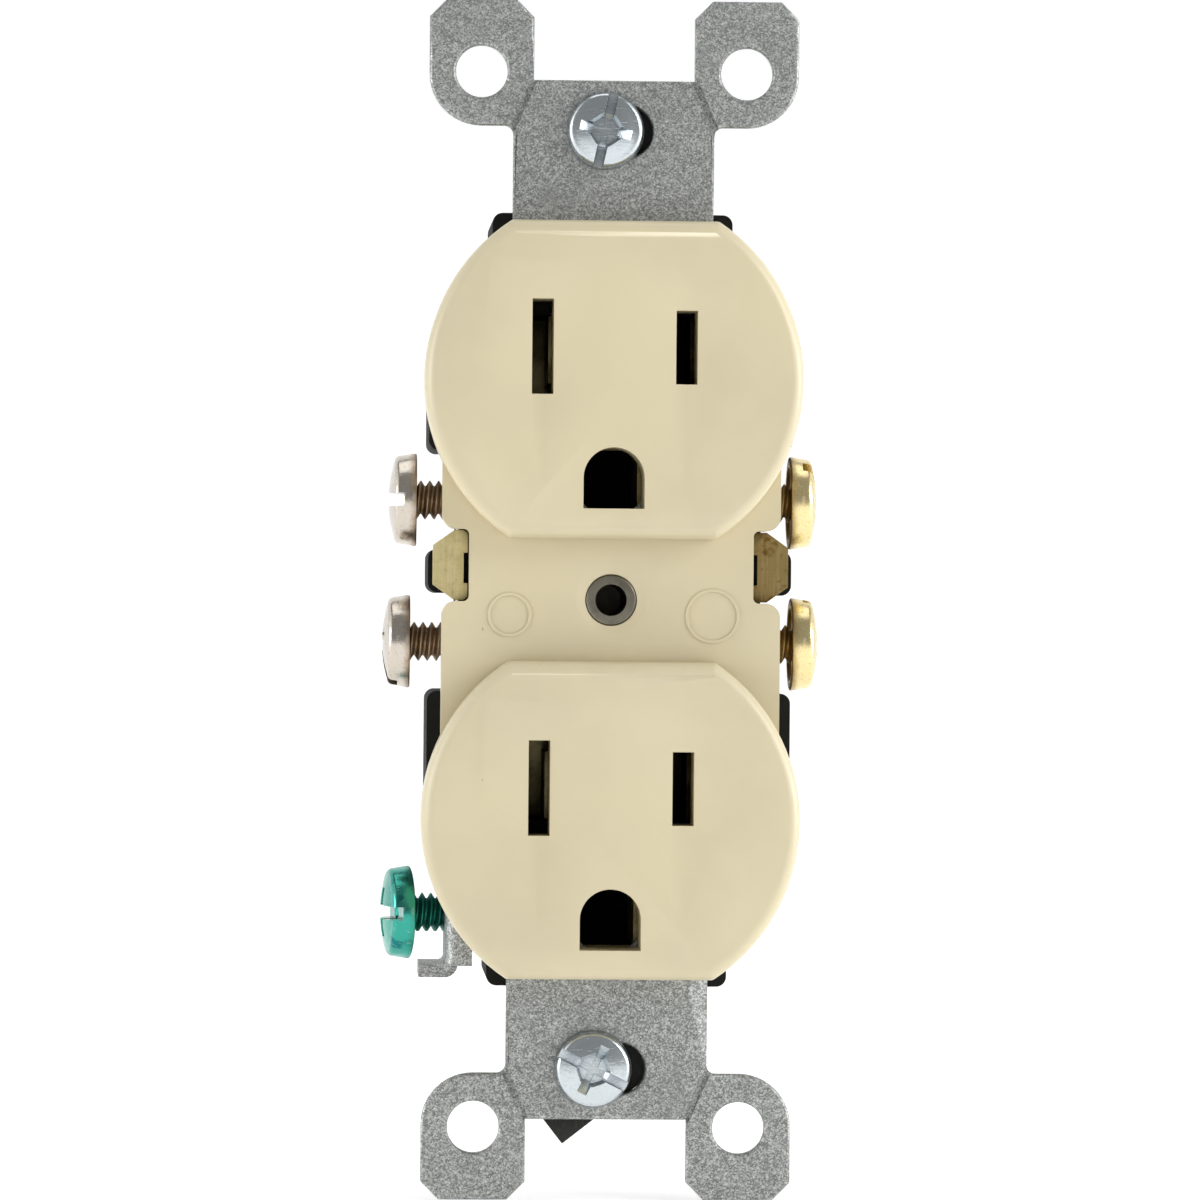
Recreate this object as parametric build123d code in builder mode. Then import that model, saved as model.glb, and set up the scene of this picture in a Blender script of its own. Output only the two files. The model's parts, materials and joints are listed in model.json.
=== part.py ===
from build123d import *
from math import atan2, cos, degrees, hypot, radians, sin
import os

# A duplex wall outlet with side-wired terminal screws, push-in wire holes at the back and a steel mounting
# strap. Millimetres. The faces look towards -Y, +X is the viewer's right and +Z is up. The origin is at the
# device's centre on the rear plane of the strap, which is the plane of the wall surface. A height "ahead"
# is measured from there towards the room, and a "depth" from there into the wall box.

# ---- Driving sizes ----------------------------------------------------------------------------------------
outlet_spacing = 38.9            # between the centres of the two faces
face_diameter = 33.4
face_flats = 28.0                # across the flat top and bottom of a face
face_ahead = 7.2                 # front of the faces
face_edge_radius = 1.1
face_corner = 0.6                # where the flats meet the round
cover_wall = 1.9
cover_plate = 2.3                # thickness of a face behind its front

panel_width = 30.0
panel_ahead = 3.4                # front of the panel between the faces
panel_corner = 1.3               # rounding beside the notches
notch_corner = 0.5

blade_pitch = 12.7               # between the two blade slots of one outlet
blade_above_centre = 2.85        # slot centres above the face's centre
slot_width = 1.9
neutral_slot_height = 8.4
hot_slot_height = 6.5
pin_below_blades = 11.55         # ground pin axis below the blade line
pin_hole_width = 5.4
pin_hole_foot = 2.7              # flat edge of the ground hole below the pin axis
guide_wall = 1.0                 # wall round each slot behind the face
valley_depth = 0.75              # sculpted valley that leads a blade to its slot
valley_half_width = 6.3
valley_run = 3.4                 # straight length of a valley below the slot centre
valley_fade = 9.0                # length over which the valley runs out below that

strap_thick = 1.2
strap_width = 17.9
strap_past_slot = 4.53           # strap's end beyond the mounting slot
mounting_past_outlet = 22.22     # device mounting slots beyond the faces' centres
mounting_slot_length = 6.9
mounting_slot_height = 4.5
ear_inner = 7.15
ear_outer = 16.45
ear_low_past_slot = 0.43
ear_end_past_slot = 11.68
ear_round = 4.6
ear_chamfer = 1.6
ear_hole_x = 11.8
ear_hole_past_slot = 5.23
ear_hole_radius = 2.3
neck_round = 0.8
score_width = 0.6
score_depth = 0.35
spine_width = 8.4                # strap between the blade contacts
window_margin = 1.0              # strap window beyond the blade slot, above and below
pin_window_radius = 3.3

body_depth = 18.2                # rear of the moulded body
body_past_face = 0.95            # its ends beyond the faces' flats
body_end_width = 21.4            # its width above and below the terminals
rib_width = 32.4                 # across the ribs that guard the terminals
rib_past_outlet = 1.05           # ribs end this far beyond the faces' centres
body_corner = 0.9
body_edge = 0.8

terminal_pitch = 12.7
terminal_z = 2.5                 # middle between the two terminal screws of one side
terminal_depth = 5.5             # screw axes behind the strap's rear plane
terminal_plate_outer = 13.5      # outer face of the terminal plates
terminal_reach = 5.45            # plates run this far past the screw axis, away from the middle
brass_thick = 0.8
fin_gap = 2.7                    # slot between upper and lower terminal plates behind the fin
fin_z = 3.0
fin_gap_below = 0.25             # middle of that slot below the middle of the fin
fin_root_height = 6.2
fin_edge_height = 3.5
fin_straight = 0.4               # fin beyond the plate before it tapers
fin_out = 2.3                    # fin beyond the plate
fin_ahead = 1.6
fin_hole_width = 0.35

blade_thick = 1.52
blade_leaf_height = 6.0
contact_mouth = 2.0              # front of the blade contacts behind the strap's rear plane
contact_base = 11.2              # front face of the strip that joins them

pin_diameter = 4.76
pin_leaf_height = 5.2
pin_leaf_depth = 11.5
pin_chamber_depth = 14.6
ground_thick = 0.7
ground_flange_out = 3.3          # flange past the pin axis, away from the device's centre
ground_flange_in = 6.2           # and towards it
ground_rivet_in = 4.9
ground_rivet_pitch = 3.4
ground_rivet_radius = 0.7
ground_rivet_head = 1.1
ground_rivet_head_thick = 0.45

thread_radius = 1.75             # 6-32 machine screw
terminal_head_radius = 4.17
terminal_head_thick = 2.5
terminal_head_edge = 0.9
terminal_shank = 8.0
ground_shank = 7.0
terminal_slot_width = 1.25
terminal_slot_depth = 1.4
undercut_radius = 3.3
undercut_depth = 0.3
shank_chamfer = 0.45

tab_outer = 14.4                 # outer face of the ground terminal tab
tab_high_below_outlet = 3.95     # all three measured down from the lower face's centre
tab_arm_below_outlet = 11.55
ground_screw_below_outlet = 8.7
tab_depth = 9.8
tab_tongue_width = 2.4
tab_bend = 0.4
foot_out = 2.3                   # foot beyond the tab
foot_front_depth = 2.0
foot_head_gap = 0.3              # foot to the ground screw's head when it is driven in
foot_bend = 0.5
ground_relief_gap = 0.35         # round and past the ground screw, where it enters the body

mounting_head_radius = 3.45
mounting_head_thick = 1.9
mounting_head_edge = 0.9
mounting_shank = 22.0
mounting_slot_width = 0.9
mounting_slot_depth = 0.9
washer_length = 12.5
washer_width = 7.5
washer_thick = 1.0

rivet_barrel_radius = 1.95
rivet_bore_radius = 1.4
rivet_bore_depth = 9.0
rivet_flange_radius = 2.25
rivet_flange_thick = 0.5
rivet_recess = 0.35
rivet_dish_radius = 3.3
rivet_tail_radius = 3.5
rivet_tail_thick = 0.9

peg_radius = 1.2
peg_inset = 4.5                  # peg axes inside the round of a face
peg_depth = 4.0
peg_above_outlet = (-2.45, 5.45) # upper pair and lower pair

wire_hole_radius = 1.15
wire_hole_inset = 1.2            # wire hole axes inside the terminal plates
wire_hole_past_screw = 3.4
release_slot_inset = 2.6         # and the release slots inside the wire holes
release_slot_width = 1.6
release_slot_height = 3.0
spring_thick = 0.4
spring_width = 2.0
spring_rear_margin = 0.6
spring_front = 3.0
spring_tip_depth = 5.2
spring_tip_gap = 0.9             # tip to terminal plate, less than a wire

plain_ring_x = 9.0
plain_ring_z = -1.35
plain_ring_radii = (1.95, 2.4)   # left and right
plain_ring_line = 0.25
plain_ring_relief = 0.12

# How far each piece stands from its seated place
neutral_screw_out = (3.6, 4.1)   # upper and lower
hot_screw_out = (2.7, 2.9)
ground_screw_out = 3.1
ground_screw_tilt = 8.0          # towards the room, as its tab is bent a little
mounting_screw_shift = (-0.8, -1.2)
mounting_slot_turn = (78.0, -27.0)
washer_turn = (4.0, 38.0)

# ---- Clearances -------------------------------------------------------------------------------------------
fixed_gap = 0.05                 # between pieces that are clamped together
seat_gap = 0.1                   # under a screw head or behind the strap, where pieces move
screw_clearance = 0.05           # radial, screw in plate, tab or washer
part_clearance = 0.1             # contact parts in their chambers

# ---- Derived places ---------------------------------------------------------------------------------------
outlets = (outlet_spacing / 2, -outlet_spacing / 2)
slot_z = outlet_spacing / 2 + mounting_past_outlet
strap_end = slot_z + strap_past_slot
ear_low = slot_z + ear_low_past_slot
ear_end = slot_z + ear_end_past_slot
ear_hole_z = slot_z + ear_hole_past_slot
body_end = (outlet_spacing + face_flats) / 2 + body_past_face
rib_end = outlet_spacing / 2 + rib_past_outlet
tab_high = -outlet_spacing / 2 - tab_high_below_outlet
tab_arm_low = -outlet_spacing / 2 - tab_arm_below_outlet
ground_screw_z = -outlet_spacing / 2 - ground_screw_below_outlet
tab_inner = -tab_outer + strap_thick
foot_top = ground_screw_z - terminal_head_radius - foot_head_gap
foot_low = foot_top - strap_thick
peg_x = face_diameter / 2 - peg_inset
peg_heights = tuple(centre + rise for centre, rise in zip(outlets, peg_above_outlet))
sides = (-1, 1)
ends = (1, -1)
terminals = (terminal_z + terminal_pitch / 2, terminal_z - terminal_pitch / 2)
head_seat = terminal_plate_outer + seat_gap
terminal_plate_inner = terminal_plate_outer - brass_thick
contact_back = contact_base + brass_thick
chamber_depth = contact_back + part_clearance
leaf_offset = blade_thick / 2 + brass_thick
contact_half = leaf_offset + part_clearance
notch_inner = terminal_plate_inner - part_clearance
notch_height = fin_root_height + 2 * part_clearance
pocket_height = 2 * (terminal_head_radius + 2 * part_clearance)
wire_hole_x = terminal_plate_inner - wire_hole_inset
release_slot_x = wire_hole_x - release_slot_inset
fin_taper_start = terminal_plate_outer + fin_straight
fin_reach = terminal_plate_outer + fin_out
fin_hole_reach = terminal_plate_inner + fin_hole_width
upper_plate_low = fin_z - fin_gap_below + fin_gap / 2
lower_plate_high = upper_plate_low - fin_gap
front_of_body = -fixed_gap
behind_face = face_ahead - cover_plate
strap_cover = strap_thick + fixed_gap
pins = tuple(centre + blade_above_centre - pin_below_blades for centre in outlets)
ground_rivet_spots = [
    (side * ground_rivet_pitch / 2, pin - end * ground_rivet_in) for end, pin in zip(ends, pins) for side in sides
]
wire_heights = (terminals[0] + wire_hole_past_screw, terminals[1] - wire_hole_past_screw)


def facing(ahead):
    """Plane that looks towards the room, a distance ahead of the strap's rear plane."""
    return Plane.XZ.offset(ahead)


def looking_up(z):
    return Plane.XY.offset(z)


def sideways(side, x, depth, z):
    """Plane that looks out of one side of the device, with its own x along +Z."""
    return Plane(origin=(side * x, depth, z), x_dir=(0, 0, 1), z_dir=(side, 0, 0))


def ground_axis(along):
    """Plane square to the ground screw, a distance outwards from where its axis crosses the tab's outer face."""
    lean = radians(ground_screw_tilt)
    origin = (-tab_outer - along * cos(lean), terminal_depth - along * sin(lean), ground_screw_z)
    return Plane(origin=origin, x_dir=(0, 0, 1), z_dir=(-cos(lean), -sin(lean), 0))


def block(x_span, depth_span, z_span, mode=Mode.ADD):
    """A box between two x, two depths and two heights."""
    spans = (x_span, depth_span, z_span)
    middle = tuple((low + high) / 2 for low, high in spans)
    with Locations(middle):
        Box(*[abs(high - low) for low, high in spans], mode=mode)


os.makedirs("parts", exist_ok=True)


def save(part, name):
    part.label = name
    export_step(part, f"parts/{name}.step")


def pin_hole_profile(z, grow=0.0):
    """Ground hole: an arch over a flat foot, round the pin axis."""
    half = pin_hole_width / 2 + grow
    foot = pin_hole_foot + grow
    with Locations((0, z)):
        Circle(half)
    with Locations((0, z - foot / 2)):
        Rectangle(2 * half, foot)


# ---- Valley cutters for the sculpted faces ----------------------------------------------------------------
def valley_section(plane, above):
    """Cusp between two arcs that leave the face tangentially, deepest in the middle. Its own y is depth."""
    with BuildSketch(plane) as section:
        with BuildLine():
            TangentArc((-valley_half_width, 0), (0, valley_depth), tangent=(1, 0))
            TangentArc((valley_half_width, 0), (0, valley_depth), tangent=(-1, 0))
            Polyline(
                (valley_half_width, 0),
                (valley_half_width, -above),
                (-valley_half_width, -above),
                (-valley_half_width, 0),
            )
        make_face()
    return section.sketch


def valley_side(plane, top, low, above):
    """The same curve seen from the side: it closes the valley above the slot."""
    foot = top - valley_half_width
    with BuildSketch(plane) as profile:
        with BuildLine():
            TangentArc((top, 0), (foot, valley_depth), tangent=(-1, 0))
            Polyline((foot, valley_depth), (low, valley_depth), (low, -above), (top, -above), (top, 0))
        make_face()
    return profile.sketch


def valley_cutter(x, slot_centre, slot_height):
    """Valley over one slot: hipped above it, and running out to nothing below it."""
    top = slot_centre + slot_height / 2 + valley_half_width - slot_width / 2
    low = slot_centre - valley_run
    above = 1.0
    section_plane = Plane(origin=(x, -face_ahead, low), x_dir=(1, 0, 0), z_dir=(0, 0, 1))
    side_plane = Plane(origin=(x, -face_ahead, 0), x_dir=(0, 0, 1), z_dir=(-1, 0, 0))
    section = valley_section(section_plane, above)
    profile = valley_side(side_plane, top, low, above)
    with BuildPart() as cutter:
        extrude(section, amount=top - low)
        extrude(profile, amount=valley_half_width, both=True, mode=Mode.INTERSECT)
        fade = hypot(valley_fade, valley_depth)
        extrude(section, amount=fade, dir=(0, -valley_depth, -valley_fade))
    return cutter.part


valleys = []
for centre in outlets:
    for side, height in zip(sides, (neutral_slot_height, hot_slot_height)):
        valleys.append(valley_cutter(side * blade_pitch / 2, centre + blade_above_centre, height))

# ---- Face cover -------------------------------------------------------------------------------------------
with BuildPart() as face_cover:
    # Round faces with flat tops and bottoms
    for centre in outlets:
        with BuildSketch(facing(0)) as face_outline:
            with Locations((0, centre)):
                Circle(face_diameter / 2)
                Rectangle(face_diameter, face_flats, mode=Mode.INTERSECT)
            fillet(face_outline.vertices(), face_corner)
        extrude(amount=face_ahead)
        front_edges = face_cover.edges().group_by(Axis.Y)[0]
        fillet(front_edges.filter_by(lambda e: e.center().Z * centre > 0), face_edge_radius)

    # Panel between the faces, notched for the break-off fins
    with BuildSketch(facing(0)) as panel_outline:
        Rectangle(panel_width, outlet_spacing)
        for side in sides:
            with Locations((side * panel_width / 2, fin_z)):
                Rectangle(panel_width - 2 * notch_inner, notch_height, mode=Mode.SUBTRACT)
        corners = panel_outline.vertices().filter_by(lambda v: abs(v.Y - fin_z) < notch_height)
        fillet(corners.filter_by(lambda v: abs(v.X) > panel_width / 2 - 0.1), panel_corner)
        corners = panel_outline.vertices().filter_by(lambda v: abs(v.Y - fin_z) < notch_height)
        fillet(corners.filter_by(lambda v: abs(abs(v.X) - notch_inner) < 0.01), notch_corner)
    extrude(amount=panel_ahead)

    # Valleys that lead the blades in
    for valley in valleys:
        add(valley, mode=Mode.SUBTRACT)

    # Hollow behind the faces
    for centre in outlets:
        with BuildSketch(facing(0)):
            with Locations((0, centre)):
                Circle(face_diameter / 2 - cover_wall)
                Rectangle(face_diameter, face_flats - 2 * cover_wall, mode=Mode.INTERSECT)
            with Locations((0, 0)):
                Rectangle(face_diameter, outlet_spacing - face_flats + cover_wall, mode=Mode.SUBTRACT)
        extrude(amount=behind_face, mode=Mode.SUBTRACT)

    # Guides round the slots and ground holes, and pegs that enter the body
    for centre in outlets:
        blade_line = centre + blade_above_centre
        with BuildSketch(facing(strap_cover)):
            for side, height in zip(sides, (neutral_slot_height, hot_slot_height)):
                with Locations((side * blade_pitch / 2, blade_line)):
                    Rectangle(slot_width + 2 * guide_wall, height + 2 * guide_wall)
            pin_hole_profile(blade_line - pin_below_blades, guide_wall)
        extrude(amount=behind_face - strap_cover)
    with BuildSketch(facing(-peg_depth)):
        for side in sides:
            with Locations(*[(side * peg_x, z) for z in peg_heights]):
                Circle(peg_radius)
    extrude(amount=peg_depth + behind_face)

    # Slots and ground holes
    for centre in outlets:
        blade_line = centre + blade_above_centre
        with BuildSketch(facing(0)):
            for side, height in zip(sides, (neutral_slot_height, hot_slot_height)):
                with Locations((side * blade_pitch / 2, blade_line)):
                    Rectangle(slot_width, height)
            pin_hole_profile(blade_line - pin_below_blades)
        extrude(amount=face_ahead, mode=Mode.SUBTRACT)

    # Channel for the strap and for the arm of its ground tab
    with BuildSketch(facing(0)):
        Rectangle(strap_width + 2 * part_clearance, 2 * strap_end)
        arm_height = tab_high - foot_top + 2 * part_clearance
        with Locations((-tab_outer / 2 - part_clearance, (tab_high + foot_top) / 2)):
            Rectangle(tab_outer, arm_height)
    extrude(amount=strap_cover, mode=Mode.SUBTRACT)

    # Room for the heads of the ground contacts' rivets
    with BuildSketch(facing(0)):
        with Locations(*ground_rivet_spots):
            Circle(ground_rivet_head + part_clearance)
    extrude(amount=strap_cover + ground_rivet_head_thick + part_clearance, mode=Mode.SUBTRACT)

    # Dished seat of the centre rivet
    seat = rivet_recess + rivet_flange_thick + fixed_gap
    with BuildSketch(facing(panel_ahead)):
        Circle(rivet_dish_radius)
    with BuildSketch(facing(panel_ahead - rivet_recess)):
        Circle(rivet_flange_radius + fixed_gap)
    loft(mode=Mode.SUBTRACT)
    with BuildSketch(facing(panel_ahead - seat)):
        Circle(rivet_flange_radius + fixed_gap)
    extrude(amount=rivet_flange_thick + fixed_gap, mode=Mode.SUBTRACT)
    with BuildSketch(facing(0)):
        Circle(rivet_barrel_radius + fixed_gap)
    extrude(amount=panel_ahead, mode=Mode.SUBTRACT)

    # Plain raised rings on the panel
    for side, radius in zip(sides, plain_ring_radii):
        with BuildSketch(facing(panel_ahead)):
            with Locations((side * plain_ring_x, plain_ring_z)):
                Circle(radius)
                Circle(radius - plain_ring_line, mode=Mode.SUBTRACT)
        extrude(amount=plain_ring_relief)
save(face_cover.part, "face_cover")

# ---- Mounting strap ---------------------------------------------------------------------------------------
with BuildPart() as mounting_strap:
    with BuildSketch(facing(0)) as strap_outline:
        Rectangle(strap_width, 2 * strap_end)
        ear_x = (ear_inner + ear_outer) / 2
        ear_z = (ear_low + ear_end) / 2
        with Locations(*[(side * ear_x, end * ear_z) for side in sides for end in ends]):
            Rectangle(ear_outer - ear_inner, ear_end - ear_low)
        points = strap_outline.vertices()
        outboard = points.filter_by(lambda v: abs(abs(v.X) - ear_outer) < 0.01)
        fillet(outboard.filter_by(lambda v: abs(abs(v.Y) - ear_low) < 0.01), ear_round)
        points = strap_outline.vertices()
        necks = points.filter_by(lambda v: hypot(abs(v.X) - strap_width / 2, abs(v.Y) - ear_low) < 0.01)
        fillet(necks, neck_round)
        points = strap_outline.vertices()
        chamfer(points.filter_by(lambda v: abs(abs(v.Y) - ear_end) < 0.01), ear_chamfer)
        # Arm of the ground tab, with a tongue down its outer edge
        with Locations((-tab_outer / 2, (tab_arm_low + tab_high) / 2)):
            Rectangle(tab_outer, tab_high - tab_arm_low)
        with Locations((-(tab_outer - tab_tongue_width / 2), (foot_top + tab_high) / 2)):
            Rectangle(tab_tongue_width, tab_high - foot_top)
        # Windows for the blade contacts leave a narrow spine
        for centre in outlets:
            window_height = neutral_slot_height + 2 * window_margin
            for side in sides:
                with Locations((side * strap_width / 2, centre + blade_above_centre)):
                    Rectangle(strap_width - spine_width, window_height, mode=Mode.SUBTRACT)
        with Locations(*[(0, pin) for pin in pins]):
            Circle(pin_window_radius, mode=Mode.SUBTRACT)
        with Locations(*ground_rivet_spots):
            Circle(ground_rivet_radius + fixed_gap, mode=Mode.SUBTRACT)
        Circle(rivet_barrel_radius + fixed_gap, mode=Mode.SUBTRACT)
        with Locations(*[(0, end * slot_z) for end in ends]):
            SlotOverall(mounting_slot_length, mounting_slot_height, mode=Mode.SUBTRACT)
        with Locations(*[(side * ear_hole_x, end * ear_hole_z) for side in sides for end in ends]):
            Circle(ear_hole_radius, mode=Mode.SUBTRACT)
    extrude(amount=strap_thick)

    # Ground terminal tab, bent back beside the body, and its outturned foot
    block((-tab_outer, tab_inner), (-strap_thick, tab_depth), (foot_top, tab_high))
    block((-tab_outer - foot_out, tab_inner), (foot_front_depth, tab_depth), (foot_low, foot_top))
    upright = mounting_strap.edges().filter_by(Axis.Z)
    bend_outer = upright.filter_by(lambda e: hypot(e.center().X + tab_outer, e.center().Y + strap_thick) < 0.01)
    fillet(bend_outer, strap_thick)
    upright = mounting_strap.edges().filter_by(Axis.Z)
    fillet(upright.filter_by(lambda e: hypot(e.center().X - tab_inner, e.center().Y) < 0.01), tab_bend)
    on_foot = mounting_strap.edges().filter_by(Axis.Y).filter_by(lambda e: e.center().Y > foot_front_depth)
    fillet(on_foot.filter_by(lambda e: hypot(e.center().X + tab_outer, e.center().Z - foot_top) < 0.01), foot_bend)
    on_foot = mounting_strap.edges().filter_by(Axis.Y).filter_by(lambda e: e.center().Y > foot_front_depth)
    fillet(on_foot.filter_by(lambda e: hypot(e.center().X - tab_inner, e.center().Z - foot_low) < 0.01), strap_thick)
    with BuildSketch(ground_axis(strap_thick)):
        Circle(thread_radius + screw_clearance)
    extrude(amount=-3 * strap_thick, mode=Mode.SUBTRACT)

    # Score lines where the ears break off
    score_dx = (ear_inner + strap_width / 2) / 2
    score_run = hypot(strap_width / 2 - ear_inner, strap_end - ear_low) + 2 * score_width
    score_lean = degrees(atan2(strap_end - ear_low, strap_width / 2 - ear_inner))
    with BuildSketch(facing(strap_thick)):
        for side in sides:
            for end in ends:
                spot = Location((side * score_dx, end * (strap_end + ear_low) / 2), -side * end * score_lean)
                with Locations(spot):
                    Rectangle(score_run, score_width)
    extrude(amount=-score_depth, mode=Mode.SUBTRACT)
save(mounting_strap.part, "mounting_strap")

# ---- Moulded body -----------------------------------------------------------------------------------------
with BuildPart() as back_body:
    with BuildSketch(facing(front_of_body)) as body_outline:
        Rectangle(body_end_width, 2 * body_end)
        Rectangle(rib_width, 2 * rib_end)
        # Terminal pockets stand open between the ribs, down to the terminal plates
        for side in sides:
            with Locations(*[(side * (rib_width / 2), z) for z in terminals]):
                pocket_width = rib_width - 2 * (terminal_plate_outer + fixed_gap)
                Rectangle(pocket_width, pocket_height, mode=Mode.SUBTRACT)
        rim = body_outline.vertices().filter_by(lambda v: abs(v.X) > rib_width / 2 - 0.01)
        fillet(rim, body_corner)
        tips = body_outline.vertices().filter_by(lambda v: abs(v.Y) > body_end - 0.01)
        fillet(tips, body_corner)
    extrude(amount=-(body_depth + front_of_body))
    chamfer(back_body.faces().sort_by(Axis.Y)[-1].outer_wire().edges(), body_edge)

    for side in sides:
        # Blade chambers, and terminal chambers that open into the pockets
        middle = side * blade_pitch / 2
        spans = (
            (upper_plate_low - part_clearance, outlets[0] + blade_above_centre + blade_leaf_height / 2),
            (outlets[1] + blade_above_centre - blade_leaf_height / 2, lower_plate_high + part_clearance),
        )
        for low, high in spans:
            block(
                (middle - contact_half, middle + contact_half),
                (-front_of_body, chamber_depth),
                (low - part_clearance, high + part_clearance),
                Mode.SUBTRACT,
            )
        reach = terminal_reach + part_clearance
        plates = (
            (upper_plate_low - part_clearance, terminals[0] + reach),
            (terminals[1] - reach, lower_plate_high + part_clearance),
        )
        for low, high in plates:
            block(
                (middle, side * (terminal_plate_outer + fixed_gap)),
                (-front_of_body, chamber_depth),
                (low, high),
                Mode.SUBTRACT,
            )
    # Ground chambers
    for end, pin in zip(ends, pins):
        half = pin_diameter / 2 + ground_thick + 5 * part_clearance
        chamber = (
            pin - end * (ground_flange_in + part_clearance),
            pin + end * (ground_flange_out + part_clearance),
        )
        block((-half, half), (-front_of_body, pin_chamber_depth), chamber, Mode.SUBTRACT)
    # Relief for the end of the ground screw
    with BuildSketch(ground_axis(0)):
        Circle(thread_radius + ground_relief_gap)
    extrude(amount=-(ground_shank + ground_relief_gap), mode=Mode.SUBTRACT)
    # Rivet bore, peg sockets, push-in wire holes and their release slots
    with BuildSketch(facing(-body_depth)):
        Circle(rivet_barrel_radius + fixed_gap)
    extrude(amount=body_depth, mode=Mode.SUBTRACT)
    with BuildSketch(facing(front_of_body)):
        for side in sides:
            with Locations(*[(side * peg_x, z) for z in peg_heights]):
                Circle(peg_radius + part_clearance)
    extrude(amount=-(peg_depth + 5 * part_clearance), mode=Mode.SUBTRACT)
    with BuildSketch(facing(-body_depth)):
        for side in sides:
            with Locations(*[(side * wire_hole_x, z) for z in wire_heights]):
                Circle(wire_hole_radius)
            with Locations(*[(side * release_slot_x, z) for z in wire_heights]):
                Rectangle(release_slot_width, release_slot_height)
    extrude(amount=body_depth - contact_back, mode=Mode.SUBTRACT)
save(back_body.part, "back_body")

# ---- Centre rivet, tapped for the wall plate's screw ------------------------------------------------------
with BuildPart() as centre_rivet:
    rivet_front = panel_ahead - rivet_recess
    with BuildSketch(facing(rivet_front)):
        Circle(rivet_flange_radius)
    extrude(amount=-rivet_flange_thick)
    with BuildSketch(facing(rivet_front)):
        Circle(rivet_barrel_radius)
    extrude(amount=-(rivet_front + body_depth))
    with BuildSketch(facing(-body_depth)):
        Circle(rivet_tail_radius)
    extrude(amount=-rivet_tail_thick)
    fillet(centre_rivet.edges().group_by(Axis.Y)[-1], rivet_tail_thick / 2)
    fillet(centre_rivet.edges().group_by(Axis.Y)[0], rivet_flange_thick / 3)
    with BuildSketch(facing(rivet_front)):
        Circle(rivet_bore_radius)
    extrude(amount=-(rivet_front + rivet_bore_depth), mode=Mode.SUBTRACT)
save(centre_rivet.part, "centre_rivet")

# ---- Brass bus bars: blade contacts, terminal plates and the break-off fin that joins their halves ----------
for side, bus_name in zip(sides, ("neutral_bus", "hot_bus")):
    blade_x = side * blade_pitch / 2
    plate_span = (side * terminal_plate_inner, side * terminal_plate_outer)
    with BuildPart() as bus:
        halves = (
            (outlets[0] + blade_above_centre, upper_plate_low, terminals[0] + terminal_reach, 1),
            (outlets[1] + blade_above_centre, lower_plate_high, terminals[1] - terminal_reach, -1),
        )
        for blade_z, near, far, way in halves:
            leaf_end = blade_z + way * blade_leaf_height / 2
            # Joining strip and the arm out to the terminal plate
            base = (contact_base, contact_back)
            block((blade_x - leaf_offset, blade_x + leaf_offset), base, (near, leaf_end))
            block((blade_x, side * terminal_plate_outer), base, (near, far))
            block(plate_span, (brass_thick, contact_back), (near, far))
            # Two leaves wipe the faces of a blade
            leaf_span = (blade_z - blade_leaf_height / 2, blade_z + blade_leaf_height / 2)
            for leaf in sides:
                inner_x = blade_x + leaf * blade_thick / 2
                block((inner_x, inner_x + leaf * brass_thick), (contact_mouth, contact_back), leaf_span)
            # Neck that carries the fin
            root = fin_z + way * (fin_root_height / 2 - notch_corner)
            block(plate_span, (-fin_ahead, contact_base), (near, root))
        with BuildSketch(facing(fin_ahead)) as fin_outline:
            with BuildLine():
                half_root = fin_root_height / 2
                half_edge = fin_edge_height / 2
                Polyline(
                    (side * terminal_plate_inner, fin_z - half_root),
                    (side * fin_taper_start, fin_z - half_root),
                    (side * fin_reach, fin_z - half_edge),
                    (side * fin_reach, fin_z + half_edge),
                    (side * fin_taper_start, fin_z + half_root),
                    (side * terminal_plate_inner, fin_z + half_root),
                    close=True,
                )
            make_face()
            root_x = side * terminal_plate_inner
            fillet(fin_outline.vertices().filter_by(lambda v: abs(v.X - root_x) < 0.01), notch_corner)
            hole_x = (terminal_plate_inner + fin_hole_reach) / 2
            with Locations((side * hole_x, (upper_plate_low + lower_plate_high) / 2)):
                Rectangle(fin_hole_reach - terminal_plate_inner, fin_gap, mode=Mode.SUBTRACT)
        extrude(amount=-brass_thick)
        # Screw holes, and holes for the push-in wires to pass the arm
        with BuildSketch(*[sideways(side, terminal_plate_outer, terminal_depth, z) for z in terminals]):
            Circle(thread_radius + screw_clearance)
        extrude(amount=-brass_thick, mode=Mode.SUBTRACT)
        with BuildSketch(facing(-contact_back)):
            with Locations(*[(side * wire_hole_x, z) for z in wire_heights]):
                Circle(wire_hole_radius)
            with Locations(*[(side * release_slot_x, z) for z in wire_heights]):
                Rectangle(release_slot_width, release_slot_height)
        extrude(amount=brass_thick, mode=Mode.SUBTRACT)
    save(bus.part, bus_name)

# ---- Ground contacts and the rivets that fix them to the strap ----------------------------------------------
for end, pin, level in zip(ends, pins, ("upper", "lower")):
    leaf_inner = pin_diameter / 2
    leaf_outer = leaf_inner + ground_thick
    with BuildPart() as ground_contact:
        flange = (pin - end * ground_flange_in, pin + end * ground_flange_out)
        block((-leaf_outer, leaf_outer), (0, ground_thick), flange)
        leaf_span = (pin - pin_leaf_height / 2, pin + pin_leaf_height / 2)
        for leaf in sides:
            block((leaf * leaf_inner, leaf * leaf_outer), (0, pin_leaf_depth), leaf_span)
        with BuildSketch(facing(0)):
            with Locations((0, pin)):
                Rectangle(pin_diameter, pin_leaf_height)
            with Locations(*ground_rivet_spots):
                Circle(ground_rivet_radius + fixed_gap)
        extrude(amount=-ground_thick, mode=Mode.SUBTRACT)
    save(ground_contact.part, f"ground_contact_{level}")

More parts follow.
